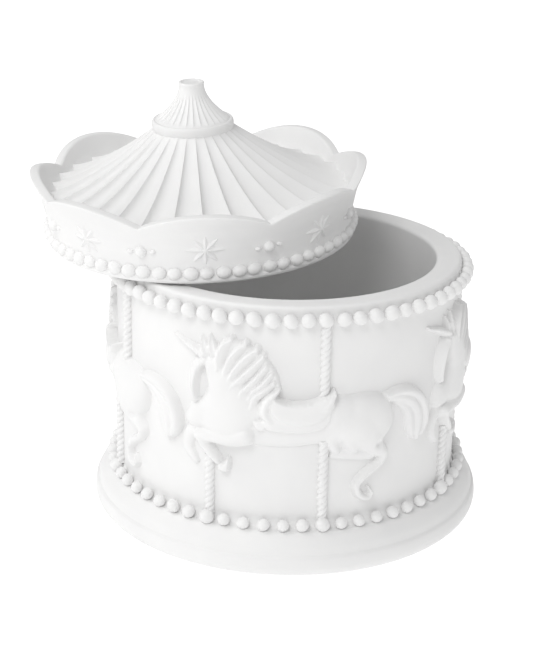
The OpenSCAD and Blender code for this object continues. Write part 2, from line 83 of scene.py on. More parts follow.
SPIRE_LEFT = 1.5               # the spire stands this far left of the lid's centre
SPIRE_FOOT_Z = 38.8
SPIRE_TOP_R = 4.15
SPIRE_FLARE = 7.8              # the spire's foot is this much wider than its top
SPIRE_H = 10.8


# ---- mesh helpers ----
def make(name, verts, faces, body, slot, replaced, material, crease=38.0, place=None):
    """A piece from vertices in millimetres, smooth except where faces meet at more than crease degrees."""
    mesh = bpy.data.meshes.new(name)
    mesh.from_pydata((np.array(verts, float) * MM).tolist(), [], faces)
    if place is not None:
        mesh.transform(place)
    mesh.validate()
    mesh.shade_smooth()
    mesh.set_sharp_from_angle(angle=math.radians(crease))
    piece = bpy.data.objects.new(name, mesh)
    bpy.context.scene.collection.objects.link(piece)
    mesh.materials.append(material)
    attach(piece, body)
    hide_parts(*replaced)


def rounded(corners, steps=6):
    """A path through corners (x, y, fillet), each rounded by a short curve of a fixed number of steps."""
    path = [corners[0][:2]]
    for before, (x, y, fillet), after in zip(corners[:-2], corners[1:-1], corners[2:]):
        here = Vector((x, y))
        a, b = Vector(before[:2]) - here, Vector(after[:2]) - here
        a, b = a * min(fillet / a.length, 0.49), b * min(fillet / b.length, 0.49)
        for k in range(steps + 1):
            t = k / steps
            p = here + a * (1 - t) ** 2 + b * t**2
            path.append((p.x, p.y))
    return path + [corners[-1][:2]]


def lathe(path_at, turns):
    """Vertices, faces and points per path of a turned shell. path_at(angle) gives (radius, height) points."""
    rings = [path_at(2 * math.pi * j / turns) for j in range(turns)]
    n = len(rings[0])
    verts = [(r * math.sin(2 * math.pi * j / turns), -r * math.cos(2 * math.pi * j / turns), z)
             for j, ring in enumerate(rings) for r, z in ring]
    faces = []
    for j in range(turns):
        a, b = j * n, (j + 1) % turns * n
        faces += [(a + i, b + i, b + i + 1, a + i + 1) for i in range(n - 1)]
    return verts, faces, n


def merge_axis(verts, faces, n, turns):
    """Joins the points on the axis, where each path of n points starts and ends."""
    same = {}
    for end in (0, n - 1):
        for j in range(turns):
            same[j * n + end] = end
    out = []
    for face in faces:
        ring = []
        for v in face:
            v = same.get(v, v)
            if v not in ring:
                ring.append(v)
        if len(ring) > 2:
            out.append(tuple(ring))
    used = sorted({v for f in out for v in f})
    index = {v: i for i, v in enumerate(used)}
    return [verts[v] for v in used], [tuple(index[v] for v in f) for f in out]


def unit_ball(rings=14, turns=22):
    """Vertices and faces of a ball of radius 1."""
    verts = [(0, 0, 1)]
    for i in range(1, rings):
        a = math.pi * i / rings
        for j in range(turns):
            b = 2 * math.pi * j / turns
            verts.append((math.sin(a) * math.cos(b), math.sin(a) * math.sin(b), math.cos(a)))
    verts.append((0, 0, -1))
    last = len(verts) - 1
    faces = [(0, 1 + j, 1 + (j + 1) % turns) for j in range(turns)]
    for i in range(rings - 2):
        a = 1 + i * turns
        faces += [(a + j, a + turns + j, a + turns + (j + 1) % turns, a + (j + 1) % turns)
                  for j in range(turns)]
    a = last - turns
    faces += [(a + (j + 1) % turns, a + j, last) for j in range(turns)]
    return np.array(verts), faces


BALL_VERTS, BALL_FACES = unit_ball()


def balls(rows):
    """Hand-pressed beads in one mesh. Rows are azimuth in degrees, ring radius, height, radius, squash."""
    verts, faces = [], []
    for azimuth, ring_r, z, radius, squash in rows:
        a = math.radians(azimuth)
        out = np.array([math.sin(a), -math.cos(a), 0])
        along = np.array([math.cos(a), math.sin(a), 0])
        lean = random.uniform(-0.12, 0.12)
        shape = BALL_VERTS * [radius * squash[0], radius * squash[1], radius * squash[2]]
        # a faint flat where a fingertip pressed the bead
        press = random.uniform(0, 2 * math.pi)
        dent = np.clip(BALL_VERTS @ [math.cos(press) * 0.6, 0.8, math.sin(press) * 0.6] - 0.75, 0, None)
        shape = shape * (1 - 0.22 * dent[:, None])
        points = (np.outer(shape[:, 0] + lean * shape[:, 2], along) + np.outer(shape[:, 1], out)
                  + np.outer(shape[:, 2], [0, 0, 1]) + out * ring_r + [0, 0, z])
        start = len(verts)
        verts += points.tolist()
        faces += [tuple(start + v for v in f) for f in BALL_FACES]
    return verts, faces


def bead_ring(count, ring_r, z, radius, phase, squash=(1, 1, 1), jitter=0.05, larger=()):
    """Rows for balls(): a ring of beads that vary a little in size and place. The ones nearest the
    azimuths in larger are bigger."""
    rows = []
    for i in range(count):
        azimuth = i * 360 / count + phase
        near = any(abs((azimuth - b + 180) % 360 - 180) < 180 / count for b in larger)
        size = radius * (1 + random.uniform(-jitter, jitter)) * (1.14 if near else 1)
        azimuth += random.uniform(-0.25, 0.25)
        rows.append((azimuth, ring_r, z + random.uniform(-0.12, 0.12), size, squash))
    return rows


# ---- relief helpers: a height over a wall, with u along it and z up, in millimetres ----
LIMB_STEP = 1.0                # spacing of the points along a limb's curve
EDGE_STEP = 0.8                # the same for an outline or a lock of hair
HORN_STEP = 0.5                # the same for the horn


def spline(points, spacing):
    """Points along a smooth curve through the given rows; every column is interpolated."""
    p = np.array(points, float)
    p = np.vstack([2 * p[0] - p[1], p, 2 * p[-1] - p[-2]])
    rows = []
    for a, b, c, d in zip(p[:-3], p[1:-2], p[2:-1], p[3:]):
        n = max(2, int(np.hypot(*(c - b)[:2]) / spacing))
        t = (np.arange(n) / n)[:, None]
        rows.append(0.5 * (2 * b + (c - a) * t + (2 * a - 5 * b + 4 * c - d) * t**2
                           + (3 * b - a - 3 * c + d) * t**3))
    return np.vstack(rows + [p[-2:-1]])


def nearest(u, z, line):
    """For each grid point: distance to a line, its side (the right of the run is positive), the line's other
    columns at the nearest place, and how far along that place is, from 0 to 1."""
    best = np.full(u.shape, 1e9)
    side, along = np.zeros(u.shape), np.zeros(u.shape)
    extra = np.zeros(u.shape + (line.shape[1] - 2,))
    walked = 0.0
    for a, b in zip(line[:-1], line[1:]):
        du, dz = b[0] - a[0], b[1] - a[1]
        length = np.hypot(du, dz) + 1e-9
        t = np.clip(((u - a[0]) * du + (z - a[1]) * dz) / length**2, 0, 1)
        d = np.hypot(u - a[0] - t * du, z - a[1] - t * dz)
        near = d < best
        best = np.where(near, d, best)
        side = np.where(near, np.sign(dz * (u - a[0]) - du * (z - a[1])), side)
        along = np.where(near, walked + t * length, along)
        extra = np.where(near[..., None], a[2:] + (b - a)[2:] * t[..., None], extra)
        walked += length
    return best, side, extra, along / walked


def limb(u, z, points):
    """A rounded limb along a curve: rows are u, z, half width, height."""
    d, _, extra, _ = nearest(u, z, spline(points, LIMB_STEP))
    x = d / extra[..., 0]
    dome = np.sqrt(np.clip(1 - x**2, 0, 1))
    return np.where(x < 1, extra[..., 1] * dome, (1 - x) * extra[..., 0] * 1.5)


def lock(u, z, points, fall=0.42, cut=4.0):
    """A lock of hair: a crest with a steep left side and a long right side. Rows are u, z, width, height."""
    d, side, extra, along = nearest(u, z, spline(points, EDGE_STEP))
    width, height = extra[..., 0], extra[..., 1]
    right = np.clip(d * side, 0, None)
    falling = height - fall * right - 0.25 * right**2 / width - cut * np.clip(right - width, 0, None)
    steep = height - cut * np.clip(-d * side - 0.15, 0, None)
    past_end = height - np.clip(d - 0.3 * width, 0, None) * cut * 0.8
    return np.where((along <= 0) | (along >= 1), past_end, np.where(side > 0, falling, steep))


def patch(u, z, outline, height, rim, power=2.0):
    """A closed outline, level inside and rounded off over rim at its edge."""
    ring = spline(list(outline) + [outline[0]], EDGE_STEP)
    d = nearest(u, z, ring)[0]
    inside = np.zeros(u.shape, bool)
    for (u0, z0), (u1, z1) in zip(ring[:-1], ring[1:]):
        crosses = (z0 > z) != (z1 > z)
        inside ^= crosses & (u < (u1 - u0) * (z - z0) / (z1 - z0 + 1e-12) + u0)
    dome = (1 - (1 - np.clip(d / rim, 0, 1)) ** power) ** (1 / power)
    return np.where(inside, height * dome, -1.5 * d)


def blend(a, b, k):
    """The higher of two surfaces, with a fillet of size k where they meet."""
    return np.maximum(a, b) + np.clip(k - np.abs(a - b), 0, None) ** 2 / (4 * k)


def blend_all(layers, k):
    """blend() over a list of surfaces, in order."""
    total = layers[0]
    for layer in layers[1:]:
        total = blend(total, layer, k)
    return total


def soften(h, radius, spacing):
    """Rubs a surface down: a Gaussian blur with that standard deviation."""
    reach = np.arange(-int(3 * radius / spacing), int(3 * radius / spacing) + 1) * spacing
    kernel = np.exp(-reach**2 / (2 * radius**2))
    kernel /= kernel.sum()
    pad = len(reach) // 2
    for axis in (0, 1):
        wide = np.pad(h, [(pad, pad) if a == axis else (0, 0) for a in (0, 1)], mode="edge")
        h = np.apply_along_axis(lambda line: np.convolve(line, kernel, "valid"), axis, wide)
    return h


def sheet_solid(height, point_at, sink, back):
    """A closed thin solid over every grid cell that rises above sink. point_at(i, j, h) gives a vertex."""
    rows, cols = height.shape
    corners = [height[:-1, :-1], height[:-1, 1:], height[1:, 1:], height[1:, :-1]]
    keep = np.maximum.reduce(corners) > sink
    index, verts, faces = {}, [], []

    def vertex(i, j, layer):
        key = (i, j, layer)
        if key not in index:
            index[key] = len(verts)
            verts.append(point_at(i, j, height[i, j] if layer == 0 else back))
        return index[key]

    for i, j in zip(*np.nonzero(keep)):
        loop = [(i, j), (i, j + 1), (i + 1, j + 1), (i + 1, j)]
        faces.append(tuple(vertex(a, b, 0) for a, b in loop))
        faces.append(tuple(vertex(a, b, 1) for a, b in reversed(loop)))
        beyond = [(i - 1, j), (i, j + 1), (i + 1, j), (i, j - 1)]
        for a, b, neighbour in zip(loop, loop[1:] + loop[:1], beyond):
            inside = 0 <= neighbour[0] < rows - 1 and 0 <= neighbour[1] < cols - 1
            if not (inside and keep[neighbour]):
                faces.append((vertex(*b, 0), vertex(*a, 0), vertex(*a, 1), vertex(*b, 1)))
    return verts, faces


# ---- the unicorn, galloping to the left: rows are u, z, half width, height. An outline has u, z, and
# LOCKS and CHEEK_SLOPE, which go to lock(), have their whole width ----
NECK = [(-20.6, 68.4), (-22.6, 65), (-25.2, 62.6), (-25.2, 59.6), (-27.9, 54.2), (-31.5, 52.6), (-33.6, 48),
        (-33.4, 46.4), (-31.5, 44.6), (-27, 44.2), (-21, 44), (-14, 44.6), (-9.8, 47.6), (-6.4, 50.5),
        (-5.4, 54), (-8.5, 58.5), (-14, 64), (-18, 67.6)]                                        # outline
SHOULDER = [(-18, 62, 6, 3.3), (-17, 54, 8, 3.9), (-18, 48, 8, 3.8)]
NOSE = [(-25.6, 68.2, 1.2, 3.0), (-28.2, 65.2, 1.1, 2.9), (-29.5, 61.4, 1.0, 2.8), (-29.9, 57.4, 0.9, 2.6),
        (-29.5, 54.2, 1.1, 2.4)]
CHEEK_SLOPE = [(-27, 67, 2.6, 3.0), (-28.5, 64.6, 3.2, 3.0), (-29.5, 61, 3.6, 2.9), (-29.7, 57.4, 3.2, 2.6),
               (-29.4, 54.6, 2.2, 2.2)]
HEAD = [(-20.6, 70), (-24.2, 69.9), (-26.6, 68.2), (-26, 65), (-25.2, 61), (-24, 57), (-18, 57),
        (-17.5, 64)]                                                            # outline
HORN = [(-26.2, 69.4, 1.5, 2.9), (-31.2, 71.6, 1.15, 2.3), (-37.5, 73.9, 0.5, 1.3)]
EARS = [[(-25.2, 69.2, 0.9, 2.6), (-26.0, 71.8, 1.4, 2.6), (-27.4, 75.2, 0.4, 1.6)],
        [(-22.6, 68.6, 0.9, 2.8), (-23.3, 71.8, 1.6, 2.8), (-24.4, 76.2, 0.45, 1.7)]]
LOCKS = [[(-21.2, 66.2, 1.6, 3.2), (-21.2, 70.5, 2.4, 3.3), (-19.8, 74, 2.8, 3.0), (-17.2, 76, 1.3, 2.2)],
         [(-19.2, 63.6, 1.4, 3.3), (-18.2, 68.2, 2.2, 3.5), (-15.9, 72.4, 2.5, 3.2), (-12.6, 75.2, 1.2, 2.3)],
         [(-17.9, 62.4, 1.4, 3.4), (-15.8, 66.8, 2.2, 3.6), (-12.6, 71, 2.4, 3.3), (-9.2, 73.6, 1.2, 2.3)],
         [(-17.4, 57.4, 1.2, 3.3), (-16.4, 61.4, 1.8, 3.6), (-12.4, 66, 2.2, 3.6), (-7.3, 71.4, 1.2, 2.4)],
         [(-14.4, 56.2, 1.6, 3.3), (-13.4, 60, 1.8, 3.5), (-10.4, 63.4, 2.0, 3.5), (-6.2, 68.6, 1.2, 2.4)],
         [(-11.6, 57.4, 1.2, 3.1), (-10, 60.6, 1.4, 3.3), (-7.4, 62.8, 1.5, 3.3), (-4.5, 66.3, 1.0, 2.3)],
         [(-10.8, 54.8, 1.6, 3.2), (-9.6, 58.6, 1.8, 3.4), (-6.6, 61, 1.6, 3.3), (-3.8, 63.4, 1.0, 2.4)]]
MANE = [(-22, 66), (-21.6, 71), (-20.2, 75), (-17.1, 76.1), (-13.5, 75), (-9.2, 73.4), (-6.2, 70.6),
        (-3.1, 66.3), (-1.7, 61.8), (-2.2, 59.4), (-8, 57), (-14, 57), (-18, 61)]   # outline
TRUNK = [(-8, 47.6, 6.4, 1.9), (0, 48.6, 7.4, 2.4), (8, 49.6, 7.6, 2.7), (15, 50.2, 8.2, 2.9)]
RUMP = [(20, 49.8, 8.2, 3.6), (23.5, 49.4, 8.8, 4.3), (27, 48.8, 9.0, 4.3)]
THIGH = [(22, 47, 6.6, 4.4), (26, 43.2, 5.0, 4.1), (29.8, 39, 3.3, 3.2), (32.4, 36.8, 2.2, 2.6)]
CANNON = [(32.6, 36.2, 1.9, 2.4), (31.2, 33.6, 1.5, 2.3), (26.2, 30.4, 1.6, 2.2), (23.2, 27.2, 1.5, 2.2),
          (23.6, 24.2, 1.4, 2.3)]
HIND_HOOF = [(23.6, 24.2, 1.4, 2.3), (25.2, 22.6, 1.3, 2.3), (27.4, 22, 1.1, 2.2), (28.6, 23.4, 0.9, 2.1),
             (27.4, 25.6, 0.45, 1.8)]
STIFLE = [[(15.4, 46, 2.6, 2.6), (14.6, 42.4, 2.4, 2.7), (15.8, 40.2, 2.0, 2.3)],
          [(20.6, 46, 3.4, 3.7), (20.6, 42.6, 3.2, 3.6), (21.6, 40.6, 2.6, 3.0)]]
FAR_HIND = [(15, 38.2, 1.3, 1.4), (21, 38.2, 2.4, 1.6), (28, 37.4, 2.6, 1.6)]
FOREARM = [(-12.6, 44.8, 3.7, 4.3), (-17, 43.6, 3.4, 4.3), (-22.5, 43.4, 2.7, 4.2), (-27.6, 43.2, 2.2, 4.0)]
SHIN = [(-27.6, 42.6, 2.1, 3.9), (-25.6, 39.6, 1.9, 3.4), (-23, 36.6, 1.7, 3.0), (-21.4, 34.8, 1.5, 2.8)]
FORE_HOOF = [(-21.2, 31.9), (-21.2, 34), (-18.9, 35), (-18, 36.9), (-17.1, 35.2), (-17.9, 31.8)]    # outline
FAR_FORE = [(-24, 45, 3, 1.6), (-31, 42.8, 2.4, 1.7), (-32.6, 38, 2.1, 1.5), (-31, 34.6, 1.7, 1.4),
            (-29.4, 32.9, 1.1, 1.2)]
BLANKET = [(-6.8, 51), (-5.9, 48.1), (-2.4, 47.4), (2.6, 47.1), (6.9, 47.4), (11, 48.4), (13.2, 50.4),
           (13.6, 53), (14.6, 57), (9, 55), (2, 54), (-4, 55)]                  # outline
SEAT = [(-3.6, 58.6), (-5, 56), (-4.4, 53.6), (-2.6, 51.9), (0.4, 50.7), (4, 50), (7.6, 50.3), (11, 51.8),
        (13.3, 54.7), (15.2, 59.8), (14.2, 59.6), (11.2, 58.6), (8, 57), (3, 56.6), (-0.5, 57.2)]   # outline
POMMEL = [(-4.6, 50.4, 1.8, 3.9), (-6.4, 53.4, 2.1, 4.4), (-6.0, 56.6, 1.9, 4.6), (-4.2, 59, 1.5, 4.2),
          (-2.1, 61, 0.6, 3.0)]
CANTLE = [(8, 53.4, 2.0, 3.8), (11.2, 55.4, 2.2, 4.5), (13.4, 57.8, 1.5, 4.6), (14.8, 60, 0.6, 3.8)]
GIRTH = [(-9.6, 50.4), (-9.2, 47.9), (-6.4, 47.6), (-6.2, 50.6)]                # outline
TAIL = [[(33, 55.9, 1.1, 2.4), (38, 56.4, 1.6, 2.9), (43, 55, 1.9, 3.1), (46.9, 51.8, 2.1, 3.2),
         (49, 47.2, 2.1, 3.2), (49.2, 43, 1.9, 3.0), (47.6, 39.6, 1.0, 2.4)],
        [(34, 54.8, 1.3, 2.2), (39, 54, 2.0, 2.7), (43, 51.6, 2.3, 2.9), (45.6, 47.8, 2.5, 2.9),
         (46.2, 43.4, 2.3, 2.7), (46, 38.4, 1.0, 2.2)],
        [(36.4, 53, 1.0, 1.7), (40.2, 50.8, 1.7, 2.1), (42.4, 47.4, 1.8, 2.3), (43.2, 43, 1.7, 2.1),
         (44.4, 39, 0.9, 1.7)]]
TAIL_FILL = [(34, 55.6), (39, 56), (43.5, 54), (47, 50), (49, 45.6), (48.4, 40.6), (45.2, 39), (42, 43),
             (41.6, 48), (39, 52), (34, 54)]                                    # outline
GRID = 0.25                    # spacing of the relief's grid
GRID_U = (-40, 53)             # reach of the grid along the wall
GRID_Z = (20, 78.5)            # and up it
RELIEF_MID_R = WALL_R + 1.2    # distances round the jar are taken half-way out of the relief
RELIEF_FLOOR = -1.2            # the height surface goes no deeper under the wall than this
RELIEF_EDGE = -0.5             # the sheet ends where the surface is this far under the wall
RELIEF_BACK = -1.8             # and its back lies this far under


def unicorn_height(u, z):
    """Height of the whole relief over the wall, below zero where there is none."""
    body = blend_all([limb(u, z, TRUNK), limb(u, z, RUMP), limb(u, z, THIGH)], 2.2)
    body = blend_all([body] + [limb(u, z, s) for s in STIFLE], 0.6)
    body = soften(body, 0.5, GRID)
    body = blend(body, limb(u, z, CANNON), 0.7)
    body = np.maximum(body, limb(u, z, HIND_HOOF))
    body -= 1.1 * np.exp(-((u - 29.6) ** 2 + (z - 40.6) ** 2) / 1.6)            # hollow above the hock
    tail = blend_all([patch(u, z, TAIL_FILL, 1.9, 1.5)] + [limb(u, z, t) for t in TAIL], 0.7)
    far = np.maximum(limb(u, z, FAR_FORE), limb(u, z, FAR_HIND))
    neck = blend(patch(u, z, NECK, 2.9, 5.0), patch(u, z, HEAD, 3.1, 2.4), 0.8)
    front = np.where(neck > 0, soften(blend(neck, limb(u, z, SHOULDER), 2.5), 0.6, GRID), neck)
    front = blend(front, soften(blend(limb(u, z, FOREARM), limb(u, z, SHIN), 0.6), 0.35, GRID), 0.4)
    front = blend(front, patch(u, z, FORE_HOOF, 2.9, 1.2, power=3), 0.3)
    front -= 1.4 * np.exp(-((u + 28.2) ** 2 / 0.8 + (z - 39.8) ** 2 / 2.0))     # hollow behind the knee
    face = blend(limb(u, z, NOSE), lock(u, z, CHEEK_SLOPE, fall=0.8, cut=2.5), 0.4)
    for ear in EARS:
        hollow = limb(u, z, [(a + 0.25, b, w * 0.5, 0.9) for a, b, w, _ in ear])
        face = blend(face, limb(u, z, ear) - np.clip(hollow, 0, None), 0.3)
    d, side, extra, along = nearest(u, z, spline(HORN, HORN_STEP))
    twist = 0.16 * np.cos(2 * np.pi * (7 * along - 0.7 * d * side))
    face = blend(face, limb(u, z, HORN) + np.where(d < extra[..., 0], twist, 0), 0.3)
    whole = blend_all([blend(body, tail, 0.4), far], 0.5)
    whole = blend_all([whole, front, face, patch(u, z, MANE, 1.7, 1.0)], 0.3)
    for crest in LOCKS:
        whole = blend(whole, lock(u, z, crest, cut=3.0) + 0.35, 0.2)
    # tack: blanket, girth end, and a seat between a raised pommel and cantle
    for outline, base, rise, rim in ((BLANKET, 2.7, 0.8, 0.6), (GIRTH, 2.5, 0.8, 0.5)):
        cloth = patch(u, z, outline, 1.0, rim)
        whole = np.where(cloth > 0, np.maximum(whole, base + rise * cloth), whole)
    seat = patch(u, z, SEAT, 1.0, 1.4)
    dip = 0.5 * np.exp(-((u - 2) / 5.5) ** 2 - ((z - 55.5) / 2.2) ** 2)
    whole = np.where(seat > 0, 3.5 + 0.8 * seat - dip, whole)
    whole = np.maximum(whole, limb(u, z, CANTLE))
    return np.maximum(whole, limb(u, z, POMMEL))


def unicorn_mesh():
    """The relief as a closed sheet bent round the wall, facing the front."""
    us = np.arange(*GRID_U, GRID)
    zs = np.arange(*GRID_Z, GRID)
    u, z = np.meshgrid(us, zs)
    height = soften(np.maximum(unicorn_height(u, z), RELIEF_FLOOR), 0.18, GRID)

    def point_at(i, j, h):
        a = us[j] / RELIEF_MID_R
        return ((WALL_R + h) * math.sin(a), -(WALL_R + h) * math.cos(a), zs[i])

    return sheet_solid(height, point_at, RELIEF_EDGE, RELIEF_BACK)


# ---- materials ----
def new_material(name):
    material = bpy.data.materials.new(name)
    material.use_nodes = True
    nodes = material.node_tree.nodes
    return material, nodes, material.node_tree.links, nodes["Principled BSDF"]


def noise(nodes, links, coords, scale, detail=3.0):
    """A noise texture in object space; scale is per metre."""
    texture = nodes.new("ShaderNodeTexNoise")
    texture.inputs["Scale"].default_value = scale
    texture.inputs["Detail"].default_value = detail
    links.new(coords, texture.inputs["Vector"])
    return texture.outputs["Fac"]


def remap(nodes, links, value, low, high):
    """Noise mostly lies between 0.3 and 0.7; this spreads that range over low to high."""
    ranged = nodes.new("ShaderNodeMapRange")
    for socket, number in (("From Min", 0.3), ("From Max", 0.7), ("To Min", low), ("To Max", high)):
        ranged.inputs[socket].default_value = number
    links.new(value, ranged.inputs["Value"])
    return ranged.outputs["Result"]


def two_tone(nodes, links, factor, dark, light):
    """A colour that goes from dark to light over the same range of noise."""
    ramp = nodes.new("ShaderNodeValToRGB")
    for element, position, colour in zip(ramp.color_ramp.elements, (0.3, 0.7), (dark, light)):
        element.position = position
        element.color = (*colour, 1)
    links.new(factor, ramp.inputs["Fac"])
    return ramp.outputs["Color"]


def bump(nodes, links, shader, height, distance, strength, after=None):
    """A bump of that depth in metres, on top of the one given as after."""
    node = nodes.new("ShaderNodeBump")
    node.inputs["Distance"].default_value = distance
    node.inputs["Strength"].default_value = strength
    links.new(height, node.inputs["Height"])
    if after is not None:
        links.new(after, node.inputs["Normal"])
    links.new(node.outputs["Normal"], shader.inputs["Normal"])
    return node.outputs["Normal"]


def bisque(name, tone):
    """Unglazed white casting: fine grain, faint hand-rubbed hollows, and a slightly uneven sheen."""
    material, nodes, links, shader = new_material(name)
    coords = nodes.new("ShaderNodeTexCoord").outputs["Object"]
    cloud = noise(nodes, links, coords, 70, 4)
    light = tuple(c * tone for c in (0.900, 0.898, 0.893))
    dark = tuple(c * tone for c in (0.872, 0.870, 0.868))
    links.new(two_tone(nodes, links, cloud, dark, light), shader.inputs["Base Color"])
    links.new(remap(nodes, links, noise(nodes, links, coords, 240), 0.48, 0.66), shader.inputs["Roughness"])
    rubbed = bump(nodes, links, shader, noise(nodes, links, coords, 160, 2), 0.00012, 0.5)
    bump(nodes, links, shader, noise(nodes, links, coords, 2600, 2), 0.00002, 0.5, rubbed)
    shader.inputs["Specular IOR Level"].default_value = 0.35
    return material


JAR = bisque("bisque_jar", 0.9)
LID = bisque("bisque_lid", 0.9)
RELIEF = bisque("bisque_relief", 0.905)


# ---- jar ----
def jar_body():
    """One casting: foot, wall, rim, compartment, and the recess for the movement underneath."""
    outline = rounded([
        (0, FLOOR_UNDER_Z, 0), (RECESS_R, FLOOR_UNDER_Z, 1.5), (RECESS_R, COVER_TOP_Z, 0.3),
        (LEDGE_R, COVER_TOP_Z, 0.3), (LEDGE_R, 0, 0.5), (FOOT_R - 1.2, 0, 1.4), (FOOT_R + 0.1, 2.4, 2.2),
        (FOOT_R - 0.35, 6.1, 1.6), (FOOT_R - 1.35, 6.9, 0.35), (FOOT_R - 2.2, 9.6, 2.4),
        (FOOT_R - 5.2, 13.0, 1.6), (WALL_R + 1.2, 13.4, 0.8), (WALL_R, 16, 1.5), (WALL_R, RIM_Z - 7, 0.5),
        (WALL_R, RIM_Z - 4, 0.5), (WALL_R - 0.5, RIM_Z, 1.3),
        (MOUTH_R + 0.4, RIM_Z - 0.3, 1.5), (MOUTH_R, FLOOR_Z, 5), (0, FLOOR_Z, 0)], steps=8)

    def path_at(angle):
        # the casting is a little out of round
        sway = 0.07 * math.sin(2 * angle + 0.6) + 0.05 * math.sin(3 * angle + 2)
        return [(r + sway * min(1, r / MOUTH_R), z) for r, z in outline]

    turns = 256
    verts, faces, n = lathe(path_at, turns)
    verts, faces = merge_axis(verts, faces, n, turns)
    make("jar_body", verts, faces, "root", "bisque_jar", ["jar_wall", "compartment_floor"], JAR)


POLE_R = 1.68
POLE_LEAD = 6.3                # one turn of a strand
POLE_FOOT_Z = 16.2
# azimuth, foot and head: under each unicorn's body, over it, and under its forelegs
POLES = ([(az, POLE_FOOT_Z, 43.4) for az in (11.8, 97.6, 191.6, -72.4)]
         + [(az, 57, 81.6) for az in (11.6, 97.4, 191.4, -62.5)]
         + [(az, POLE_FOOT_Z, 36.5) for az in (-24, 62.5, 156, -108)])


def poles():
    """Three-strand twisted poles, partly sunk in the wall."""
    around, rise = 30, 0.25
    verts, faces = [], []
    for azimuth, low, high in POLES:
        a = math.radians(azimuth)
        out = Vector((math.sin(a), -math.cos(a), 0))
        along = Vector((math.cos(a), math.sin(a), 0))
        rows = int((high - low) / rise)
        start, turn = len(verts), random.uniform(0, 6)
        for i in range(rows + 1):
            z = low + (high - low) * i / rows
            sway = 0.06 * math.sin(z * 0.9 + turn)
            for j in range(around):
                t = 2 * math.pi * j / around
                strand = abs(math.cos(1.5 * (t - 2 * math.pi * z / POLE_LEAD - turn)))
                r = POLE_R * (0.72 + 0.28 * strand**0.7)
                p = out * (WALL_R + 0.45 + r * math.cos(t)) + along * (r * math.sin(t) + sway)
                verts.append((p.x, p.y, z))
            if i:
                b = start + i * around
                faces += [(b - around + j, b - around + (j + 1) % around, b + (j + 1) % around, b + j)
                          for j in range(around)]
        faces.append(tuple(start + j for j in reversed(range(around))))
        faces.append(tuple(start + rows * around + j for j in range(around)))
    make("pole_reliefs", verts, faces, "root", "bisque_relief", ["twisted_poles"], RELIEF, crease=60)


def jar_beads():
    upper = bead_ring(68, ring_r=WALL_R + 1.55, z=RIM_Z - 3.9, radius=2.28, phase=0.7,
                      squash=(1.06, 0.95, 1.0))
    make("upper_beads", *balls(upper), "root", "bisque_relief", ["upper_bead_ring"], RELIEF)
    feet = [azimuth for azimuth, low, _ in POLES if low == POLE_FOOT_Z]
    lower = bead_ring(60, ring_r=WALL_R + 2.3, z=15.2, radius=2.0, phase=-0.4,
                      squash=(1.04, 0.95, 0.98), larger=feet)
    make("lower_beads", *balls(lower), "root", "bisque_relief", ["lower_bead_ring"], RELIEF)


def unicorns():
    verts, faces = unicorn_mesh()
    for azimuth, node in zip(UNICORN_AZ, UNICORN_NODES):
        turn = Matrix.Rotation(math.radians(azimuth), 4, "Z")
        make(node + "_relief", verts, faces, "root", "bisque_relief", [node], RELIEF, crease=60, place=turn)


# ---- lid ----
def valance_r(h):
    """Outside radius of the flaring band at a height over the lid's bottom."""
    return VALANCE_R + FLARE * max(h - FLARE_FROM, 0) ** 2


def scallop_height(angle):
    """Height of the band's edge: an arc over each eighth of a turn, meeting the next in a sharp notch."""
    eighth = 2 * math.pi / SCALLOPS
    off = (angle + eighth / 2) % eighth - eighth / 2
    return ARCH_TOP - ARCH_R + math.sqrt(ARCH_R**2 - (ARCH_FROM_R * math.sin(off)) ** 2)


def lid_crown():
    """The flange, the bead seat and the scalloped band, open at the top where the roof sits."""

    def path_at(angle):
        top = scallop_height(angle)
        wall = [(valance_r(h), h, 0.6) for h in (4, 7, 10, 13, (13 + top) / 2)]
        r = valance_r(top)
        flange = [(44, 2.5, 0), (44, 0, 0.8), (51.4, 0, 1.3), (51.95, 1.4, 0.8), (51.2, 2.4, 0.5)]
        edge = [(r, top, 0.75), (r - VALANCE_T * 0.97, top + 0.35, 0.9),
                (valance_r(top - 5) - VALANCE_T, top - 5, 1)]
        return rounded(flange + wall + edge + [(47.4, 13.5, 1), (47.6, 4, 1), (44, 2.5, 0)], steps=5)

    verts, faces, _ = lathe(path_at, SCALLOPS * 40)
    make("lid_band", verts, faces, "lid", "bisque_lid", ["lid_crown"], LID, crease=50, place=LID_PLACE)


def flute(angle, radius, share=0.22):
    """Depth of the fluting at a radius: coves with crisp arrises, deepest towards their left."""
    t = (angle * PLEATS / (2 * math.pi)) % 1
    return share * 2 * math.pi * radius / PLEATS * math.sin(math.pi * t**0.62)


def lid_roof():
    """The tent roof, with coved pleats above and a plain ceiling below."""
    steps = 36

    def path_at(angle):
        path = [(0, 33.6)]
        for k in range(steps + 1):
            t = k / steps
            r = ROOF_TOP_R + (ROOF_EDGE_R - ROOF_TOP_R) * t
            depth = flute(angle, r) * min(1, 6 * t + 0.2)
            path.append((r - 0.25 * depth, ROOF_EDGE_Z + ROOF_RISE * (1 - t) ** ROOF_CURVE - depth))
        path.append((50.4, 13.4))
        # the ceiling, from the edge inwards
        for k in range(13):
            t = 1 - k / 12
            path.append((12.3 + 35.5 * t, 12.6 + 19.6 * (1 - t) ** ROOF_CURVE))
        return path + [(0, 32.4)]

    turns = PLEATS * 16
    verts, faces, n = lathe(path_at, turns)
    verts, faces = merge_axis(verts, faces, n, turns)
    # the roof leans over to where the spire stands
    verts = [(x - SPIRE_LEFT * max(0, 1 - math.hypot(x, y) / ROOF_EDGE_R), y, z) for x, y, z in verts]
    make("lid_tent_roof", verts, faces, "lid", "bisque_lid", ["lid_roof"], LID, crease=34, place=LID_PLACE)


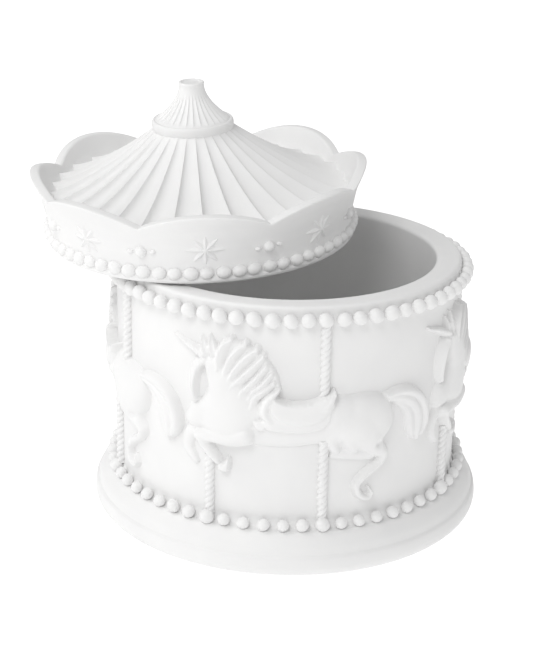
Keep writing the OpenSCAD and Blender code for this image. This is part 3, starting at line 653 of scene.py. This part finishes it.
def lid_finial():
    """The collar and the fluted spire, with a dished top."""
    collar = rounded([(0, 34.6, 0), (12.6, 34.8, 0.3), (13.4, 35.6, 0.6), (13.6, 37.6, 1.0),
                      (13.1, 38.7, 0.6), (12.3, 38.5, 0.2), (12.0, SPIRE_FOOT_Z, 0.1)], steps=5)
    top = rounded([(SPIRE_TOP_R, 49.6, 0), (4.25, 50.9, 0.5), (3.4, 51.0, 0.5), (2.9, 50.5, 0.5),
                   (0, 50.4, 0)], steps=5)
    steps = 30

    def path_at(angle):
        spire = []
        for k in range(1, steps):
            t = k / steps
            r = SPIRE_TOP_R + SPIRE_FLARE * (1 - t) ** 1.75
            fade = min(1, max(0, (0.82 - t) * 4)) * min(1, 0.4 + 8 * t)
            spire.append((r - flute(angle, r, 0.27) * fade, SPIRE_FOOT_Z + SPIRE_H * t))
        return collar + spire + top

    turns = PLEATS * 14
    verts, faces, n = lathe(path_at, turns)
    verts, faces = merge_axis(verts, faces, n, turns)
    verts = [(x - SPIRE_LEFT, y, z) for x, y, z in verts]
    make("lid_spire", verts, faces, "lid", "bisque_lid", ["lid_finial"], LID, crease=34, place=LID_PLACE)


def lid_beads():
    rows = bead_ring(64, ring_r=51.2, z=3.5, radius=2.2, phase=0.3, squash=(1.1, 0.8, 0.9), jitter=0.06)
    make("lid_beads", *balls(rows), "lid", "bisque_relief", ["lid_bead_ring"], RELIEF, place=LID_PLACE)


STAR_Z = 11.3
STAR_RAYS = [(0, 6.4), (45, 5.6), (90, 5.0), (135, 5.6)]   # direction in degrees, length; each both ways
STAR_MID_R = 52                # distances round the lid are taken at this radius
STAR_GRID = 0.16
RAY_HALF_W = 0.95
RAY_H = 1.25                   # height of a ray's ridge at the star's middle


def lid_stars():
    """Eight-pointed stars with a ridge along each ray."""
    us = np.arange(-7.2, 7.2, STAR_GRID)
    vs = np.arange(-6, 6, STAR_GRID)
    u, v = np.meshgrid(us, vs)
    height = np.full(u.shape, -1.0)
    for degrees, length in STAR_RAYS:
        for flip in (1, -1):
            du = flip * math.cos(math.radians(degrees))
            dv = flip * math.sin(math.radians(degrees))
            s = u * du + v * dv
            off = np.abs(v * du - u * dv)
            t = np.clip(s / length, 0, 1)
            half = RAY_HALF_W * np.sin(np.pi * np.clip(t, 0.02, 1) ** 0.75) ** 0.8 + 0.02
            crest = RAY_H * (1 - 0.75 * t) * (1 - off / half)
            crest = np.where((s > 0) & (s < length), crest, -1)
            height = np.maximum(height, crest)
    height = soften(np.clip(height, -0.6, None), 0.11, STAR_GRID)
    verts, faces = [], []
    for k in range(SCALLOPS):
        middle = 2 * math.pi * k / SCALLOPS

        def point_at(i, j, h):
            z = STAR_Z + vs[i]
            a = middle + us[j] / STAR_MID_R
            r = valance_r(z) + h
            return (r * math.sin(a), -r * math.cos(a), z)

        more, more_faces = sheet_solid(height, point_at, -0.25, -0.9)
        faces += [tuple(v + len(verts) for v in f) for f in more_faces]
        verts += more
    make("lid_star_reliefs", verts, faces, "lid", "bisque_relief", ["lid_stars"], RELIEF, crease=75,
         place=LID_PLACE)


BOSS_Z = 10.2


def lid_bosses():
    """A round boss under each notch, with a small bead on either side."""
    rows = []
    for k in range(SCALLOPS):
        middle = (k + 0.5) * 360 / SCALLOPS
        r = valance_r(BOSS_Z)
        rows.append((middle, r + 0.1, BOSS_Z, 1.85, (1.0, 0.95, 1.0)))
        for side in (-1, 1):
            rows.append((middle + side * 4.1, r + 0.05, BOSS_Z + 0.2 * side, 0.8, (1.25, 1.0, 0.9)))
    make("lid_boss_reliefs", *balls(rows), "lid", "bisque_relief", ["lid_bosses"], RELIEF, place=LID_PLACE)


# ---- stage, lights and camera ----
def stage():
    """A floor that glows a little over white, so that it comes out as the photo's white ground."""
    material, _, _, shader = new_material("studio_floor")
    shader.inputs["Base Color"].default_value = (0.25, 0.25, 0.25, 1)
    shader.inputs["Roughness"].default_value = 0.9
    shader.inputs["Emission Color"].default_value = (1, 1, 1, 1)
    shader.inputs["Emission Strength"].default_value = 1.0
    mesh = bpy.data.meshes.new("studio_floor")
    reach = 12.0               # metres
    corners = [(-reach, -reach, 0), (reach, -reach, 0), (reach, reach, 0), (-reach, reach, 0)]
    mesh.from_pydata(corners, [], [(0, 1, 2, 3)])
    mesh.materials.append(material)
    floor = bpy.data.objects.new("studio_floor", mesh)
    bpy.context.scene.collection.objects.link(floor)


def area_light(name, place, target, size, energy):
    """A disc that faces target: places and size in metres, energy in watts."""
    data = bpy.data.lights.new(name, "AREA")
    data.shape = "DISK"
    data.size = size
    data.energy = energy
    light = bpy.data.objects.new(name, data)
    light.location = place
    light.rotation_euler = (Vector(target) - Vector(place)).to_track_quat("-Z", "Y").to_euler()
    bpy.context.scene.collection.objects.link(light)


def lights():
    """A white dome and three soft lamps from the left and above."""
    world = bpy.data.worlds.new("studio")
    world.use_nodes = True
    world.node_tree.nodes["Background"].inputs["Color"].default_value = (1, 1, 1, 1)
    world.node_tree.nodes["Background"].inputs["Strength"].default_value = 0.52
    bpy.context.scene.world = world
    middle = (0, 0, 0.06)
    area_light("low_left", (-1.0, -0.2, 0.3), middle, size=0.5, energy=0.8)
    area_light("key", (-0.3, -0.74, 0.9), middle, size=0.5, energy=3.8)
    area_light("high_left", (-0.6, -0.1, 0.9), middle, size=0.5, energy=2.3)
    bpy.context.scene.view_settings.view_transform = "Standard"


def camera():
    """A long lens from a little above, rolled by under a degree. Places are in metres."""
    place = Vector((0, -0.5074, 0.2491))
    target = Vector((-0.0072, 0, 0.0570))
    forward = (target - place).normalized()
    right = forward.cross(Vector((0, 0, 1))).normalized()
    up = right.cross(forward)
    roll = math.radians(0.92)
    x = right * math.cos(roll) + up * math.sin(roll)
    y = up * math.cos(roll) - right * math.sin(roll)
    data = bpy.data.cameras.new("camera")
    data.lens = 86.49
    data.sensor_width = 36
    data.clip_start = 0.01
    data.clip_end = 20
    eye = bpy.data.objects.new("camera", data)
    eye.matrix_world = Matrix((x, y, -forward)).transposed().to_4x4()
    eye.location = place
    bpy.context.scene.collection.objects.link(eye)
    bpy.context.scene.camera = eye


camera()
lights()
stage()
jar_body()
poles()
jar_beads()
unicorns()
lid_crown()
lid_roof()
lid_finial()
lid_beads()
lid_stars()
lid_bosses()
